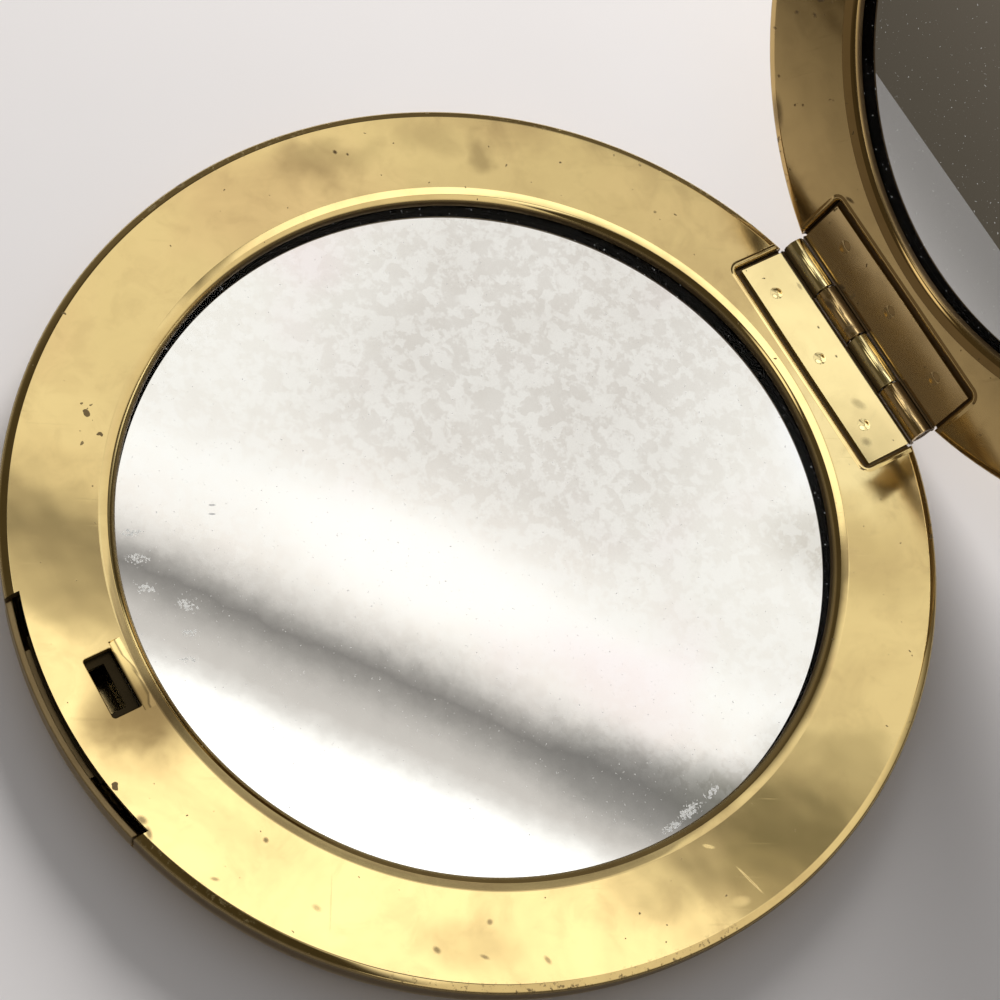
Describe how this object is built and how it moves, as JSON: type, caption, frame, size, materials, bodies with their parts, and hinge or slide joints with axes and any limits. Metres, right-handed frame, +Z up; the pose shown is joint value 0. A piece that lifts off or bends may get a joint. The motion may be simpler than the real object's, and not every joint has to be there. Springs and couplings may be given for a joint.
{
  "type": "compact mirror",
  "caption": "Round hinged brass compact with a mirror set in both halves, a recessed leaf hinge at the back and a sprung push-button catch at the front.",
  "frame": {"origin": "centre of the base half's flat back, which lies on the table", "axes": "+Z up through the base's mirror, +Y from the centre towards the hinge, X along the hinge pin"},
  "size_m": [0.0716, 0.1056, 0.068],
  "materials": {
    "shell_brass": "polished, worn and lightly tarnished",
    "frame_brass": "polished, with small dark tarnish specks",
    "hinge_brass": "polished",
    "inner_brass": "plain stamped sheet",
    "spring_steel": "plain spring strip",
    "clear_glass": "clear, polished",
    "silvering": "silvered, dark painted back",
    "backing_card": "plain grey card"
  },
  "bodies": {
    "base": {"base_shell": "shell_brass", "base_frame": "frame_brass", "base_mirror_glass": "clear_glass", "base_mirror_silvering": "silvering", "base_backing_card": "backing_card", "base_hinge_leaf": "hinge_brass", "base_leaf_studs": "hinge_brass", "hinge_pin": "hinge_brass", "catch_rails": "inner_brass", "latch_spring": "spring_steel"},
    "latch": {"push_button": "shell_brass", "catch_plate": "inner_brass", "catch_rivets": "inner_brass"},
    "lid": {"lid_shell": "shell_brass", "lid_frame": "frame_brass", "lid_mirror_glass": "clear_glass", "lid_mirror_silvering": "silvering", "lid_backing_card": "backing_card", "lid_hinge_leaf": "hinge_brass", "lid_leaf_studs": "hinge_brass", "latch_hook": "inner_brass", "hook_rivets": "inner_brass"}
  },
  "joints": [
    {"name": "lid_hinge", "type": "hinge", "parent": "base", "child": "lid", "pos_m": [0, 0.0354, 0.0047], "axis": [-1, 0, 0], "range_deg": [-117, 63]},
    {"name": "latch_press", "type": "slide", "parent": "base", "child": "latch", "axis": [0, 1, 0], "range_m": [0, 0.0008], "stiffness_N_per_m": 3000, "springref_m": -0.0003, "deforming": ["latch_spring"]}
  ]
}
